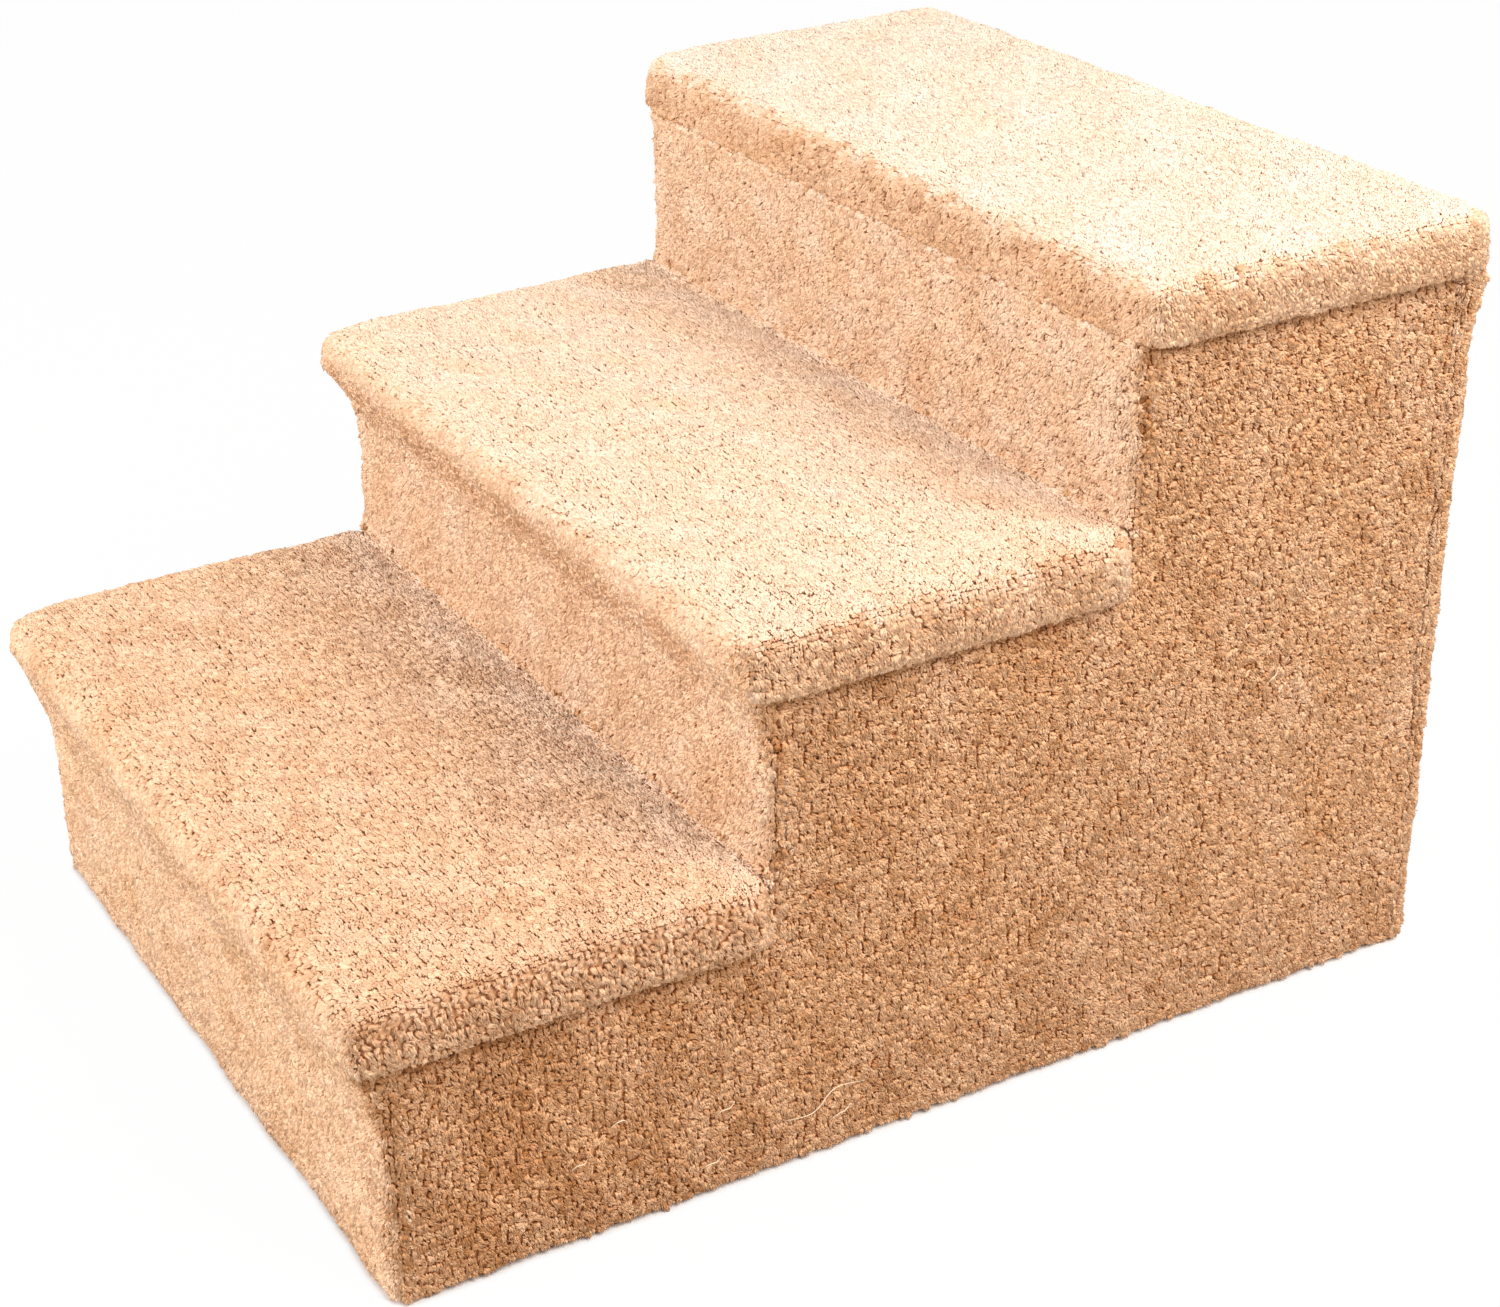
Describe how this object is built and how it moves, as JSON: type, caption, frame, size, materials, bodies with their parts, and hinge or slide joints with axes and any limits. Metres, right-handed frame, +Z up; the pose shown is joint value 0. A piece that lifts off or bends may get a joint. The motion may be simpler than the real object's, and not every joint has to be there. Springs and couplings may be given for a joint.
{
  "type": "carpeted pet stairs",
  "caption": "Free-standing steps for a pet: a plywood carcass, open underneath, covered all over in warm tan cut-pile carpet that wraps the treads and their overhanging edges.",
  "frame": {"origin": "on the floor, at the centre of the outline seen from above", "axes": "+Z up, +Y from the bottom step towards the back, +X to the right for someone facing the bottom step"},
  "size_m": [0.4666, 0.6066, 0.4065],
  "materials": {
    "plywood": "raw sanded plywood with visible plies",
    "softwood": "planed pine",
    "zinc_screws": "yellow zinc plated",
    "staple_wire": "galvanised wire",
    "carpet": "cut-pile carpet, warm tan"
  },
  "bodies": {
    "root": {"side_panel_left": "plywood", "side_panel_right": "plywood", "riser_board_bottom": "plywood", "riser_board_middle": "plywood", "riser_board_top": "plywood", "tread_board_bottom": "plywood", "tread_board_middle": "plywood", "tread_board_top": "plywood", "back_panel": "plywood", "cleat_bottom_left": "softwood", "cleat_middle_left": "softwood", "cleat_top_left": "softwood", "cleat_bottom_right": "softwood", "cleat_middle_right": "softwood", "cleat_top_right": "softwood", "batten_bottom": "softwood", "batten_middle": "softwood", "screws_treads": "zinc_screws", "screws_risers": "zinc_screws", "screws_back": "zinc_screws", "screws_cleats": "zinc_screws", "screws_battens": "zinc_screws", "staples_hem": "staple_wire", "carpet_step_bottom": "carpet", "carpet_step_middle": "carpet", "carpet_riser_top": "carpet", "carpet_top_and_back": "carpet", "carpet_side_left": "carpet", "carpet_side_right": "carpet"}
  },
  "joints": []
}
